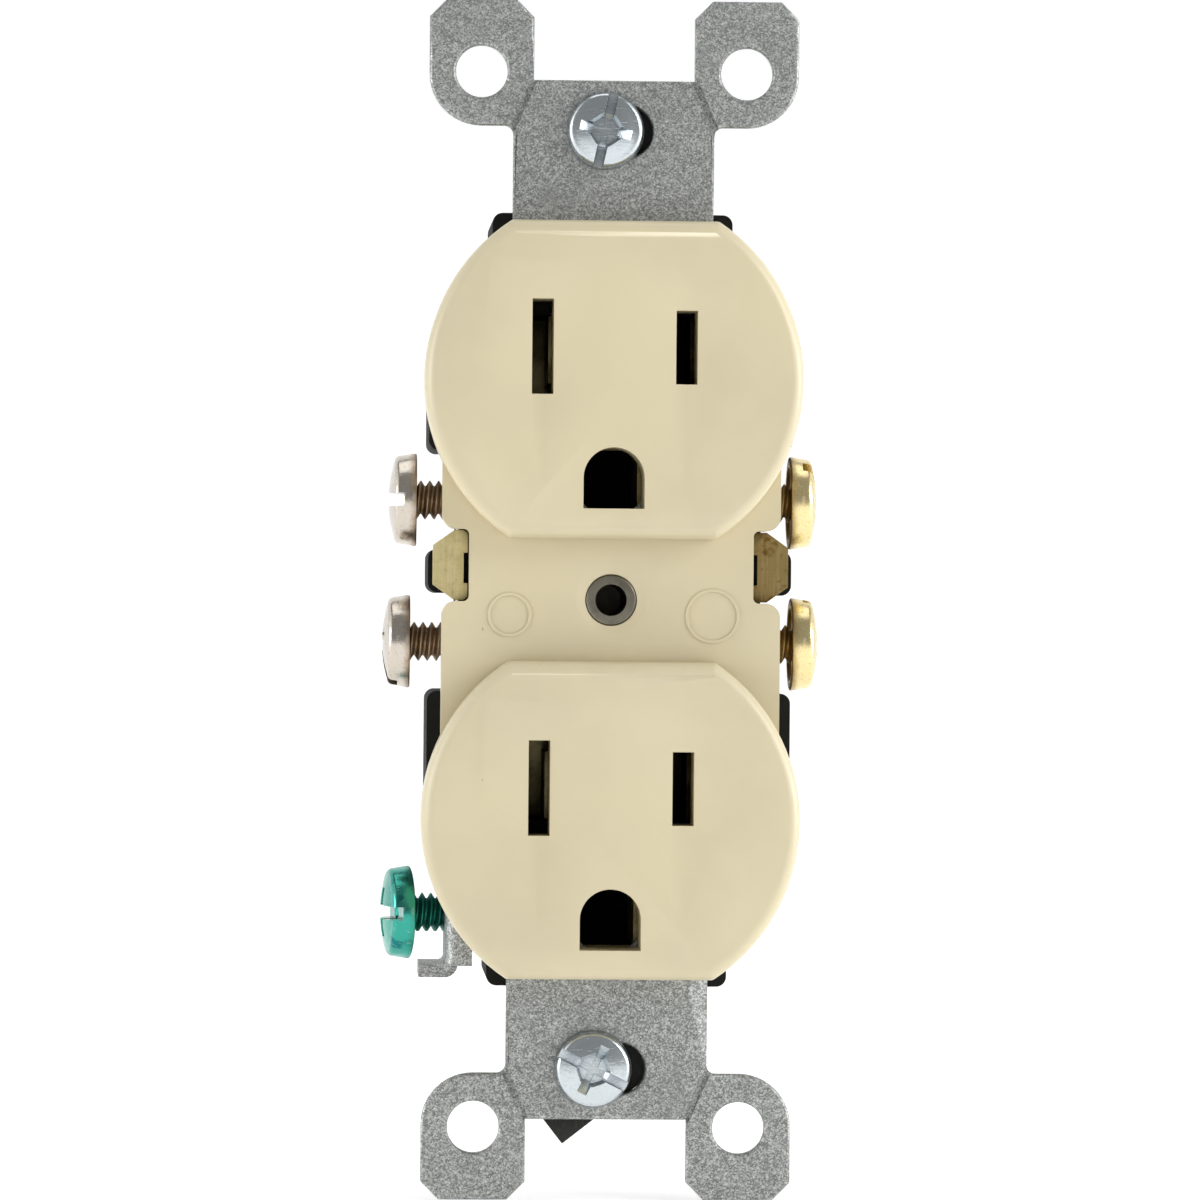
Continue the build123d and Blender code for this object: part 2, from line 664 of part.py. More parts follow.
with BuildPart() as ground_contact_rivets:
    with BuildSketch(facing(strap_thick)):
        with Locations(*ground_rivet_spots):
            Circle(ground_rivet_radius)
    extrude(amount=-(strap_thick + ground_thick))
    with BuildSketch(facing(strap_thick)):
        with Locations(*ground_rivet_spots):
            Circle(ground_rivet_head)
    extrude(amount=ground_rivet_head_thick)
    with BuildSketch(facing(-ground_thick)):
        with Locations(*ground_rivet_spots):
            Circle(ground_rivet_head)
    extrude(amount=-ground_rivet_head_thick)
save(ground_contact_rivets.part, "ground_contact_rivets")

# ---- Push-in wire clamps: folded strips of spring steel ----------------------------------------------------
for side, clamp_side in zip(sides, ("neutral", "hot")):
    for z, level in zip(wire_heights, ("upper", "lower")):
        with BuildPart() as wire_clamp:
            with BuildSketch(looking_up(z)):
                spring_root = side * (blade_pitch / 2 + contact_half)
                spring_rear = contact_base - spring_rear_margin
                spring_tip = side * (terminal_plate_inner - spring_tip_gap)
                with BuildLine():
                    Polyline(
                        (spring_root, spring_front),
                        (spring_root, spring_rear),
                        (spring_tip, spring_tip_depth),
                    )
                    offset(amount=spring_thick / 2, side=Side.BOTH)
                make_face()
            extrude(amount=spring_width / 2, both=True)
        save(wire_clamp.part, f"wire_clamp_{clamp_side}_{level}")


# ---- Screws -------------------------------------------------------------------------------------------------
def screw(seat_plane, head, shank, slot, slot_turn, name):
    """Machine screw with its head's underside on the plane, pointing out of it."""
    head_radius, head_thick, head_edge = head
    slot_width_across, slot_cut = slot
    with BuildPart() as fastener:
        with BuildSketch(seat_plane):
            Circle(head_radius)
        extrude(amount=head_thick)
        top = fastener.faces().sort_by(lambda f: (f.center() - seat_plane.origin).dot(seat_plane.z_dir))[-1]
        fillet(top.outer_wire().edges(), head_edge)
        with BuildSketch(seat_plane):
            Circle(undercut_radius * head_radius / terminal_head_radius)
        extrude(amount=undercut_depth, mode=Mode.SUBTRACT)
        with BuildSketch(seat_plane.offset(undercut_depth)):
            Circle(thread_radius)
        extrude(amount=-(shank + undercut_depth))
        tip = fastener.faces().sort_by(lambda f: (f.center() - seat_plane.origin).dot(seat_plane.z_dir))[0]
        chamfer(tip.outer_wire().edges(), shank_chamfer)
        with BuildSketch(seat_plane.offset(head_thick)):
            Rectangle(3 * head_radius, slot_width_across, rotation=slot_turn)
        extrude(amount=-slot_cut, mode=Mode.SUBTRACT)
    save(fastener.part, name)


terminal_head = (terminal_head_radius, terminal_head_thick, terminal_head_edge)
terminal_slot = (terminal_slot_width, terminal_slot_depth)
for side, pole, outs, turns in zip(
    sides, ("neutral", "hot"), (neutral_screw_out, hot_screw_out), ((90.0, 20.0), (35.0, 10.0))
):
    for z, level, out, turn in zip(terminals, ("upper", "lower"), outs, turns):
        plane = sideways(side, head_seat + out, terminal_depth, z)
        screw(plane, terminal_head, terminal_shank, terminal_slot, turn, f"{pole}_screw_{level}")
plane = ground_axis(seat_gap + ground_screw_out)
screw(plane, terminal_head, ground_shank, terminal_slot, 90.0, "ground_screw")

mounting_head = (mounting_head_radius, mounting_head_thick, mounting_head_edge)
mounting_drive = (mounting_slot_width, mounting_slot_depth)
for end, level, shift, drive_turn, oblong_turn in zip(
    ends, ("upper", "lower"), mounting_screw_shift, mounting_slot_turn, washer_turn
):
    spot = (shift, end * slot_z)
    seat = facing(strap_thick + seat_gap)
    plane = Plane(origin=seat.from_local_coords((spot[0], spot[1], 0)), x_dir=seat.x_dir, z_dir=seat.z_dir)
    screw(plane, mounting_head, mounting_shank, mounting_drive, drive_turn, f"mounting_screw_{level}")

    # Oblong washer that keeps the screw in the strap's slot
    with BuildPart() as retaining_washer:
        with BuildSketch(facing(-seat_gap)):
            with Locations(spot):
                Rectangle(washer_length, washer_width, rotation=oblong_turn)
                Circle(thread_radius + screw_clearance, mode=Mode.SUBTRACT)
        extrude(amount=-washer_thick)
    save(retaining_washer.part, f"retaining_washer_{level}")
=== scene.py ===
import json
import math
from collections import namedtuple

import bmesh
import bpy
from mathutils import Matrix, Vector


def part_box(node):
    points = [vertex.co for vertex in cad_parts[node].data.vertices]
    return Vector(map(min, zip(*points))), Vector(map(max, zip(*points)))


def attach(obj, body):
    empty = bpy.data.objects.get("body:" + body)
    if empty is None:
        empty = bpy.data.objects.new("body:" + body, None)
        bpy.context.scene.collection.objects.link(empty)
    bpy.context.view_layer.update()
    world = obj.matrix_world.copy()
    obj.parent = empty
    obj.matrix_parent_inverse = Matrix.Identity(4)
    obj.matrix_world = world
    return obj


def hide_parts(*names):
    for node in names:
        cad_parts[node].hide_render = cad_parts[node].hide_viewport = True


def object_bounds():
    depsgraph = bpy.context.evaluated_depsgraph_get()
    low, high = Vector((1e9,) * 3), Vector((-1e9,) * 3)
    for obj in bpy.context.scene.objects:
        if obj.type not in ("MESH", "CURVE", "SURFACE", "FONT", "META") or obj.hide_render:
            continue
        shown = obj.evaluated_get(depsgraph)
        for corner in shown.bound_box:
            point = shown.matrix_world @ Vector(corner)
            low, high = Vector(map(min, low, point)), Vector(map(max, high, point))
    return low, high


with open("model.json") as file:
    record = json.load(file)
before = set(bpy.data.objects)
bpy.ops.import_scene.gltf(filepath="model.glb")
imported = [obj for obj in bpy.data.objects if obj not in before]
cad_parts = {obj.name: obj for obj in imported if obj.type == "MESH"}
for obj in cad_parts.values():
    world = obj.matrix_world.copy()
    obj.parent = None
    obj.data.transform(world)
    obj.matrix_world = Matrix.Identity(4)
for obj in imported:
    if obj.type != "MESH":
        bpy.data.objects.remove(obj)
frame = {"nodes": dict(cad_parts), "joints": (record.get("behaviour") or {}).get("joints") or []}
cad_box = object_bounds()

bl_info = {
    "name": "Duplex wall outlet",
    "version": (1, 0, 0),
    "blender": (4, 5, 0),
    "location": "View3D > Sidebar > Outlet",
    "description": "Detailed pieces and finishes of a duplex wall outlet on its mounting strap",
    "category": "Object",
}

MM = 0.001


def linear(red, green, blue):
    """A display colour, 0 to 255, as the light values that shaders work in."""
    parts = [value / 255 for value in (red, green, blue)]
    return tuple(p / 12.92 if p <= 0.04045 else ((p + 0.055) / 1.055) ** 2.4 for p in parts)


# ---- What a user can change --------------------------------------------------------------------------------
def length(name, description, default):
    return bpy.props.FloatProperty(
        name=name, description=description, default=default, min=0.0, unit="LENGTH", subtype="DISTANCE"
    )


def colour(name, description, default):
    return bpy.props.FloatVectorProperty(
        name=name, description=description, default=default, size=3, min=0.0, max=1.0, subtype="COLOR"
    )


class OUTLET_PG_sizes(bpy.types.PropertyGroup):
    """Sizes of the details that are added to the frame's pieces"""

    cover_edge: length("Cover edge", "Rounding of the cover's moulded edges", 0.16 * MM)
    strap_edge: length("Strap edge", "Rounding that stamping leaves on the strap's edges", 0.3 * MM)
    body_edge: length("Body edge", "Rounding of the rear body's edges", 0.2 * MM)
    brass_edge: length("Brass edge", "Rounding of the stamped brass edges", 0.08 * MM)
    washer_edge: length("Washer edge", "Rounding of the washers' cut edges", 0.1 * MM)
    rivet_edge: length("Rivet edge", "Rounding of the centre rivet's flange and head", 0.15 * MM)
    screw_edge: length("Screw edge", "Rounding of the screws' cut edges", 0.05 * MM)
    thread_radius: length("Thread radius", "Outer radius of a 6-32 thread", 1.74 * MM)
    thread_pitch: length("Thread pitch", "Advance of a 6-32 thread in one turn", 0.794 * MM)
    terminal_head: length("Terminal head", "Thickness of a terminal screw's head", 2.5 * MM)
    mounting_head: length("Mounting head", "Thickness of a mounting screw's head", 1.9 * MM)
    camera_distance: length("Camera distance", "From the camera to the strap's rear plane", 0.56)
    view_width: length("View width", "Width that the camera takes in at the strap's rear plane", 106.9 * MM)


class OUTLET_PG_colours(bpy.types.PropertyGroup):
    """Colours of the finishes"""

    ivory: colour("Ivory", "Cover moulding", linear(208, 197, 165))
    galvanised: colour("Galvanised", "Zinc skin of the strap", linear(160, 163, 160))
    black: colour("Black", "Rear body moulding", linear(24, 24, 23))
    brass: colour("Brass", "Stamped contacts and terminals", linear(232, 216, 158))
    nickel: colour("Nickel", "Plating of the neutral screws", linear(205, 197, 185))
    brass_plate: colour("Brass plating", "Plating of the hot screws", linear(240, 222, 166))
    green: colour("Green", "Lacquer of the ground screw", linear(64, 164, 148))
    zinc: colour("Zinc", "Bright plating of the mounting screws", linear(204, 212, 216))
    rivet: colour("Rivet", "Plated steel of the centre rivet", linear(132, 127, 114))
    spring: colour("Spring steel", "Clamps of the push-in wire holes", linear(150, 152, 158))
    fibre: colour("Fibre", "Pressed black washers", linear(30, 30, 26))
    floor: colour("Floor", "Studio floor and backdrop", (0.86, 0.86, 0.86))


# ---- Shader building ---------------------------------------------------------------------------------------
class Signal:
    """A number that varies over a surface. Arithmetic on it adds Math nodes."""

    def __init__(self, finish, socket):
        self.finish = finish
        self.socket = socket

    def work(self, operation, first, second):
        node = self.finish.node("ShaderNodeMath", {"operation": operation}, {0: first, 1: second})
        return Signal(self.finish, node.outputs[0])

    def __add__(self, other):
        return self.work("ADD", self, other)

    def __radd__(self, other):
        return self.work("ADD", other, self)

    def __sub__(self, other):
        return self.work("SUBTRACT", self, other)

    def __rsub__(self, other):
        return self.work("SUBTRACT", other, self)

    def __mul__(self, other):
        return self.work("MULTIPLY", self, other)

    def __pow__(self, other):
        return self.work("POWER", self, other)

    def between(self, low, high):
        """0 at low and 1 at high, with a smooth run between them."""
        node = self.finish.node(
            "ShaderNodeMapRange",
            {"interpolation_type": "SMOOTHSTEP"},
            {"Value": self, "From Min": low, "From Max": high},
        )
        return Signal(self.finish, node.outputs[0])


class Finish:
    """A material, whose nodes are added one call at a time."""

    def __init__(self, name):
        self.material = bpy.data.materials.new(name)
        self.material.use_nodes = True
        self.tree = self.material.node_tree
        self.tree.nodes.clear()
        self.shader = self.node("ShaderNodeBsdfPrincipled")
        self.node("ShaderNodeOutputMaterial", {}, {"Surface": self.shader.outputs["BSDF"]})

    def node(self, kind, settings=None, inputs=None):
        """Add a node of a type, with its settings, then the values or links of its sockets."""
        node = self.tree.nodes.new(kind)
        for name, value in (settings or {}).items():
            setattr(node, name, value)
        for name, value in (inputs or {}).items():
            self.feed(node.inputs[name], value)
        return node

    def feed(self, socket, value):
        if isinstance(value, Signal):
            value = value.socket
        if isinstance(value, bpy.types.NodeSocket):
            self.tree.links.new(socket, value)
        elif socket.type == "RGBA":
            socket.default_value = (*value[:3], 1.0)
        else:
            socket.default_value = value

    def place(self):
        """Where a point is on the object, in metres."""
        return self.node("ShaderNodeTexCoord").outputs["Object"]

    def own(self):
        """Where a point is on a screw, in millimetres: Z runs outwards from under its head."""
        return self.node("ShaderNodeAttribute", {"attribute_name": "own"}).outputs["Vector"]

    def stretched(self, place, scale):
        return self.node("ShaderNodeMapping", {}, {"Vector": place, "Scale": scale}).outputs[0]

    def noise(self, place, scale, detail=3.0, roughness=0.5, distortion=0.0):
        node = self.node(
            "ShaderNodeTexNoise",
            {"noise_dimensions": "3D"},
            {
                "Vector": place, "Scale": scale, "Detail": detail, "Roughness": roughness,
                "Distortion": distortion,
            },
        )
        return Signal(self, node.outputs[0])

    def flakes(self, place, scale):
        """A random value, 0 to 1, for each crystal of the pattern."""
        cells = self.node("ShaderNodeTexVoronoi", {"feature": "F1"}, {"Vector": place, "Scale": scale})
        parts = self.node("ShaderNodeSeparateColor", {}, {"Color": cells.outputs["Color"]})
        return Signal(self, parts.outputs[0])

    def mix(self, share, first, second):
        """A colour between two others."""
        node = self.node("ShaderNodeMix", {"data_type": "RGBA"}, {0: share, 6: first, 7: second})
        return node.outputs[2]

    def occlusion_for_painted_shade(self, reach):
        """1 in the open and 0 far into a hollow: the ambient occlusion that the finishes use to paint shade
        into hollows.
        """
        node = self.node("ShaderNodeAmbientOcclusion", {"samples": 8}, {"Distance": reach})
        return Signal(self, node.outputs["AO"])

    def relief(self, height, distance, strength=1.0):
        """A normal from small heights."""
        bump = self.node("ShaderNodeBump", {}, {"Strength": strength, "Distance": distance, "Height": height})
        return bump.outputs["Normal"]

    def set(self, **values):
        """Set the shader's own sockets: Base_Color means its Base Color."""
        for name, value in values.items():
            self.feed(self.shader.inputs[name.replace("_", " ")], value)
        return self.material


WHITE = (1.0, 1.0, 1.0)


def darker(tone, share):
    return tuple(part * share for part in tone)


def toward(tone, other, share):
    return tuple(a + (b - a) * share for a, b in zip(tone, other))


# ---- Finishes ----------------------------------------------------------------------------------------------
def ivory_plastic(tone):
    """Moulded cover: even colour with faint flow clouds, a few specks, a fine mould grain, and painted shade
    in its corners.
    """
    finish = Finish("ivory_plastic")
    place = finish.place()
    clouds = finish.noise(place, 55.0, 4.0, 0.55)
    grain = finish.noise(place, 5200.0, 2.0, 0.5)
    specks = finish.noise(place, 1100.0, 0.0, 0.4).between(0.875, 0.885)
    # Painted shade: warm darkening of the colour where the surface is occluded, in corners and creases.
    corners = 1.0 - finish.occlusion_for_painted_shade(1.2 * MM).between(0.25, 0.8)
    base = finish.mix(clouds.between(0.3, 0.7), toward(tone, linear(214, 202, 166), 0.35), darker(tone, 0.93))
    base = finish.mix(specks * 0.6, base, linear(120, 96, 70))
    base = finish.mix(corners * 0.3, base, linear(176, 152, 108))
    wipes = finish.noise(finish.stretched(place, (900.0, 900.0, 140.0)), 1.0, 3.0, 0.6)
    return finish.set(
        Base_Color=base,
        Roughness=0.26 + wipes * 0.16 + grain * 0.05,
        IOR=1.5,
        Coat_Weight=0.2,
        Coat_Roughness=0.34,
        Normal=finish.relief(grain + clouds * 2.0, 0.000012, 0.5),
    )


def galvanised_steel(tone):
    """Hot-dipped sheet: small matt crystals, some catching the light, and rub marks."""
    finish = Finish("galvanised_steel")
    place = finish.place()
    small = finish.flakes(place, 8600.0)
    large = finish.flakes(place, 3400.0)
    dust = finish.noise(place, 9000.0, 3.0, 0.75)
    clouds = finish.noise(place, 210.0, 4.0, 0.6)
    spangle = small * 0.35 + large * 0.12 + dust * 0.53
    base = finish.mix(spangle.between(0.3, 0.7), darker(tone, 0.5), toward(tone, WHITE, 0.18))
    base = finish.mix(spangle.between(0.6, 0.7) * 0.6, base, toward(tone, WHITE, 0.5))
    base = finish.mix(clouds.between(0.5, 0.75) * 0.35, base, darker(tone, 0.7))
    rubs = finish.noise(finish.stretched(place, (300.0, 300.0, 4200.0)), 1.0, 2.0, 0.5).between(0.68, 0.76)
    base = finish.mix(rubs * 0.25, base, toward(tone, WHITE, 0.4))
    return finish.set(
        Base_Color=base,
        Metallic=0.72,
        Roughness=0.58 - small * 0.18 - rubs * 0.1,
        Normal=finish.relief(small * 0.5 + dust, 0.00002, 0.6),
    )


def black_plastic(tone):
    """Rear moulding: dark, slightly satin, with a mould grain and dusty patches."""
    finish = Finish("black_plastic")
    place = finish.place()
    grain = finish.noise(place, 3600.0, 2.0, 0.55)
    dust = finish.noise(place, 260.0, 5.0, 0.65)
    base = finish.mix(dust.between(0.55, 0.8) * 0.35, tone, toward(tone, linear(96, 92, 84), 0.3))
    return finish.set(
        Base_Color=base,
        Roughness=0.56 + dust * 0.22,
        IOR=1.42,
        Specular_IOR_Level=0.14,
        Normal=finish.relief(grain, 0.00002, 0.5),
    )


def stamped_brass(name, tone, stain, tarnish_and_shade):
    """Rolled sheet brass: rolling lines, tarnish that gathers in blotches, and painted shade, near black, far
    into its hollows. A high tarnish amount also stands for painted shade over the whole sheet.
    """
    finish = Finish(name)
    place = finish.place()
    lines = finish.noise(finish.stretched(place, (5200.0, 5200.0, 260.0)), 1.0, 3.0, 0.6)
    blotch = finish.noise(place, 420.0, 4.0, 0.62, 0.4)
    fine = finish.noise(place, 2600.0, 3.0, 0.6)
    tarnish = tarnish_and_shade + blotch.between(0.46, 0.72) * 0.4 + fine.between(0.55, 0.8) * 0.2
    # Painted shade: nearly black where hollows hide the light, such as the contact leaves behind the slots.
    inside = 1.0 - finish.occlusion_for_painted_shade(5.0 * MM).between(0.2, 0.6)
    base = finish.mix(tarnish, tone, stain)
    base = finish.mix(lines.between(0.5, 0.66) * (0.4 - 0.4 * tarnish_and_shade), base, toward(tone, WHITE, 0.2))
    base = finish.mix(inside * 0.95, base, linear(26, 20, 12))
    return finish.set(
        Base_Color=base,
        Metallic=1.0,
        Roughness=0.26 + tarnish * 0.3 + lines * 0.1,
        Normal=finish.relief(lines + fine, 0.000012, 0.4),
    )


def plated_screw(name, tone, thread_tone, stain, hollow, gloss, patch=None):
    """Plated screw: bright head with handling marks, stained near its underside, and stained threads whose
    crests are paler, partly as worn plating and partly as a painted highlight; hollow is the colour of the
    painted shade in its recess and other hollows.
    """
    finish = Finish(name)
    own = finish.own()
    parts = finish.node("ShaderNodeSeparateXYZ", {}, {"Vector": own}).outputs
    right, forward, height = (Signal(finish, parts[axis]) for axis in "XYZ")
    reach = (right * right + forward * forward) ** 0.5
    blotch = finish.noise(own, 0.55, 4.0, 0.6, 0.3)
    fine = finish.noise(own, 3.2, 3.0, 0.65)
    marks = finish.noise(finish.stretched(own, (0.7, 6.5, 1.4)), 1.0, 2.0, 0.5).between(0.62, 0.7)
    in_thread = (0.05 - height).between(0.0, 0.25)
    low = (0.75 - height + blotch * 0.7).between(0.3, 1.1)
    worn = low * 0.7 + fine.between(0.52, 0.72) * 0.25
    base = finish.mix(worn, tone, stain)
    if patch:
        base = finish.mix(blotch.between(0.55, 0.66) * 0.7, base, patch)
    base = finish.mix(marks * 0.3, base, toward(tone, WHITE, 0.35))
    thread = finish.mix(fine.between(0.42, 0.7), thread_tone, toward(thread_tone, tone, 0.4))
    # Paler thread crests: partly worn plating, partly a painted highlight.
    thread = finish.mix(reach.between(1.45, 1.74) * 0.6, thread, toward(thread_tone, tone, 0.85))
    base = finish.mix(in_thread, base, thread)
    # Painted shade: the head takes the hollow colour in its recess and other occluded parts.
    painted_recess_shade = 1.0 - finish.occlusion_for_painted_shade(1.3 * MM).between(0.25, 0.8)
    base = finish.mix(painted_recess_shade * (1.0 - in_thread) * 0.8, base, hollow)
    return finish.set(
        Base_Color=base,
        Metallic=1.0,
        Roughness=gloss + worn * 0.2 + in_thread * 0.16 + marks * 0.08,
        Normal=finish.relief(fine + marks * 0.5, 0.00002, 0.4),
    )


def plain_metal(name, tone, gloss):
    """Plated or tempered steel with a fine grain, faint stains, and painted shade, near black, in its
    hollows.
    """
    finish = Finish(name)
    place = finish.place()
    grain = finish.noise(finish.stretched(place, (3000.0, 600.0, 3000.0)), 1.0, 3.0, 0.6)
    stain = finish.noise(place, 700.0, 4.0, 0.6)
    # Painted shade: nearly black where hollows hide the light, such as the rivet's bore.
    inside = 1.0 - finish.occlusion_for_painted_shade(4.0 * MM).between(0.1, 0.45)
    base = finish.mix(stain.between(0.45, 0.75) * 0.6, tone, darker(tone, 0.5))
    base = finish.mix(inside * 0.9, base, linear(22, 20, 18))
    return finish.set(
        Base_Color=base,
        Metallic=1.0,
        Roughness=gloss + grain * 0.16,
        Normal=finish.relief(grain, 0.00001, 0.4),
    )


def black_fibre(tone):
    """Pressed fibre sheet: matted, slightly fuzzy, with paler fibres at random."""
    finish = Finish("black_fibre")
    place = finish.place()
    strands = finish.noise(finish.stretched(place, (5200.0, 1500.0, 900.0)), 1.0, 4.0, 0.7, 0.5)
    mat = finish.noise(place, 3000.0, 3.0, 0.7)
    return finish.set(
        Base_Color=finish.mix(strands.between(0.55, 0.75) * 0.6, tone, toward(tone, linear(96, 92, 82), 0.5)),
        Roughness=0.66 + mat * 0.2,
        Normal=finish.relief(mat + strands, 0.00004, 0.6),
    )


def pale_floor(tone):
    """Plain studio surface, with the faintest unevenness."""
    finish = Finish("studio_floor")
    clouds = finish.noise(finish.place(), 3.0, 2.0, 0.5)
    return finish.set(
        Base_Color=finish.mix(clouds, tone, darker(tone, 0.985)),
        Roughness=0.8,
        Emission_Color=WHITE,
        Emission_Strength=0.4,
    )


# ---- Meshes ------------------------------------------------------------------------------------------------
def add_piece(name, mesh, material, body, slot, *nodes):
    piece = bpy.data.objects.new(name, mesh)
    bpy.context.scene.collection.objects.link(piece)
    mesh.materials.clear()
    mesh.materials.append(material)
    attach(piece, body)
    if nodes:
        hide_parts(*nodes)
    return piece


def finish_node(node, material):
    mesh = frame["nodes"][node].data
    mesh.materials.clear()
    mesh.materials.append(material)


def mark_creases(work, angle):
    """Smooth shading everywhere, except over edges sharper than the angle."""
    for face in work.faces:
        face.smooth = True
    for edge in work.edges:
        edge.smooth = edge.is_manifold and edge.calc_face_angle(0.0) < angle


def weigh_rims(work, front, back, beyond):
    """Mark the rims of an upright sheet's ends, beyond a height. Grooves, which stop short, stay crisp."""
    weight = work.edges.layers.float.new("bevel_weight_edge")
    near = 0.05 * MM
    for edge in work.edges:
        if edge.smooth or min(abs(point.co.z) for point in edge.verts) < beyond:
            continue
        depths = [[point.co.y for point in face.verts] for face in edge.link_faces]
        through = any(min(depth) < front + near and max(depth) > back - near for depth in depths)
        flat = any(abs(face.normal.y) > 0.9 for face in edge.link_faces)
        if through and flat:
            edge[weight] = 1.0


def softened(name, node, edge_radius, material, slot, angle=28.0, segments=2, rims=None):
    """A copy of a frame piece with its sharp edges rounded a little, or just the rims of a sheet."""
    work = bmesh.new()
    work.from_mesh(frame["nodes"][node].data)
    bmesh.ops.remove_doubles(work, verts=work.verts, dist=0.002 * MM)
    bmesh.ops.dissolve_limit(work, angle_limit=math.radians(0.5), verts=work.verts, edges=work.edges)
    mark_creases(work, math.radians(angle))
    if rims:
        weigh_rims(work, *rims)
    mesh = bpy.data.meshes.new(name)
    work.to_mesh(mesh)
    work.free()
    piece = add_piece(name, mesh, material, "device", slot, node)
    soften = piece.modifiers.new("rounded edges", "BEVEL")
    soften.limit_method = "WEIGHT" if rims else "ANGLE"
    soften.angle_limit = math.radians(angle)
    soften.width = edge_radius
    soften.segments = segments
    soften.use_clamp_overlap = not rims
    soften.harden_normals = True
    return piece


def spun(section, steps):
    """A closed round solid from half of its section, given as (radius, height) points."""
    work = bmesh.new()
    chain = [work.verts.new((radius, 0.0, height)) for radius, height in section]
    edges = [work.edges.new(pair) for pair in zip(chain, chain[1:])]
    bmesh.ops.spin(
        work, geom=chain + edges, cent=(0, 0, 0), axis=(0, 0, 1), dvec=(0, 0, 0),
        angle=2 * math.pi, steps=steps, use_merge=True, use_duplicate=False,
    )
    bmesh.ops.remove_doubles(work, verts=work.verts, dist=0.0005)
    bmesh.ops.recalc_face_normals(work, faces=work.faces)
    return work


def head_section(radius, thick, hollow_radius, hollow_depth):
    """Half section of a screw head: hollow underside, slightly tapering side, rounded edge and low crown."""
    taper, rounding, crown = 0.05 * radius, 0.13 * radius, 0.2 * thick
    side_top = thick - crown - rounding
    middle = radius - taper - rounding
    points = [(0.0, hollow_depth), (hollow_radius, hollow_depth), (hollow_radius + 0.15, 0.0)]
    points += [(radius - 0.14, 0.0), (radius - 0.03, 0.05), (radius, 0.17), (radius - taper, side_top)]
    for step in range(1, 8):
        turn = math.radians(90 * step / 8)
        points.append((middle + rounding * math.cos(turn), side_top + rounding * math.sin(turn)))
    for step in range(8, 0, -1):
        share = step / 8
        points.append((middle * share, thick - crown * share * share))
    points.append((0.0, thick))
    return points


def wedge(length_along, top_width, foot_length, foot_width, top, foot):
    """A cutter that narrows from top to foot."""
    work = bmesh.new()
    bmesh.ops.create_cube(work, size=1.0)
    for corner in work.verts:
        upper = corner.co.z > 0
        along, across = (length_along, top_width) if upper else (foot_length, foot_width)
        corner.co = (corner.co.x * along, corner.co.y * across, top if upper else foot)
    return work


def cut(work, cutters):
    """The solid with the cutters taken out of it, as a new mesh in a bmesh."""
    scene = bpy.context.scene
    bodies = []
    for shape in [work, *cutters]:
        mesh = bpy.data.meshes.new("stock")
        shape.to_mesh(mesh)
        shape.free()
        stock = bpy.data.objects.new("stock", mesh)
        scene.collection.objects.link(stock)
        bodies.append(stock)
    for tool in bodies[1:]:
        step = bodies[0].modifiers.new("cut", "BOOLEAN")
        step.operation = "DIFFERENCE"
        step.solver = "EXACT"
        step.object = tool
    bpy.context.view_layer.update()
    result = bpy.data.meshes.new_from_object(bodies[0].evaluated_get(bpy.context.evaluated_depsgraph_get()))
    done = bmesh.new()
    done.from_mesh(result)
    bmesh.ops.remove_doubles(done, verts=done.verts, dist=0.002)
    bpy.data.meshes.remove(result)
    for stock in bodies:
        bpy.data.meshes.remove(stock.data)
    return done


def threaded_shank(radius, pitch, shank, steps=26):
    """A helical thread from inside the head to a blunt, slightly tapered tip."""
    work = bmesh.new()
    root = radius - 0.6 * pitch
    section = [(root, 0.0), (root, 0.08), (radius, 0.44), (radius, 0.56), (root, 0.92), (root, 1.0)]
    start = 2.0 * pitch
    chain = [work.verts.new((r, 0.0, start + share * pitch)) for r, share in section]
    edges = [work.edges.new(pair) for pair in zip(chain, chain[1:])]
    turns = math.ceil(shank / pitch) + 5
    bmesh.ops.spin(
        work, geom=chain + edges, cent=(0, 0, 0), axis=(0, 0, 1), dvec=(0, 0, -pitch / steps),
        angle=2 * math.pi * turns, steps=steps * turns, use_merge=False, use_duplicate=False,
    )
    bmesh.ops.remove_doubles(work, verts=work.verts, dist=0.004)
    for height, outwards in ((0.28, 1), (-shank, -1)):
        geometry = work.verts[:] + work.edges[:] + work.faces[:]
        bmesh.ops.bisect_plane(
            work, geom=geometry, dist=0.0001, plane_co=(0, 0, height), plane_no=(0, 0, outwards),
            clear_outer=True,
        )
        rim = [e for e in work.edges if e.is_boundary and all(abs(v.co.z - height) < 0.001 for v in e.verts)]
        bmesh.ops.edgeloop_fill(work, edges=rim)
    for point in work.verts:
        limit = radius - 0.42 + 0.9 * (point.co.z + shank)
        reach = math.hypot(point.co.x, point.co.y)
        if reach > limit:
            point.co.x *= limit / reach
            point.co.y *= limit / reach
    bmesh.ops.recalc_face_normals(work, faces=work.faces)
    return work


def screw_places(node):
    """A frame screw's outward direction, tip, outermost height and greatest radius."""
    out = next(Vector(joint["axis"]) for joint in frame["joints"] if joint["child"] == node).normalized()
    points = [point.co for point in frame["nodes"][node].data.vertices]
    heights = [point.dot(out) for point in points]
    lowest, highest = min(heights), max(heights)
    rim = [point for point, height in zip(points, heights) if height - lowest < 0.01 * MM]
    corners = [[pick(point[axis] for point in rim) for axis in range(3)] for pick in (min, max)]
    tip = (Vector(corners[0]) + Vector(corners[1])) / 2
    radius = max((point - tip - out * (point - tip).dot(out)).length for point in points)
    return out, tip, highest - lowest, radius


def turned(work, degrees):
    """Turn a shape about its own axis."""
    turn = Matrix.Rotation(math.radians(degrees), 3, "Z")
    bmesh.ops.rotate(work, verts=work.verts, cent=(0, 0, 0), matrix=turn)


Recess = namedtuple("Recess", "slot_width slot_depth cross_length cross_width cross_depth pit_width")
TERMINAL_RECESS = Recess(1.25, 1.4, 4.2, 1.15, 1.8, 2.0)      # millimetres
MOUNTING_RECESS = Recess(0.95, 1.0, 4.8, 0.95, 1.35, 3.0)


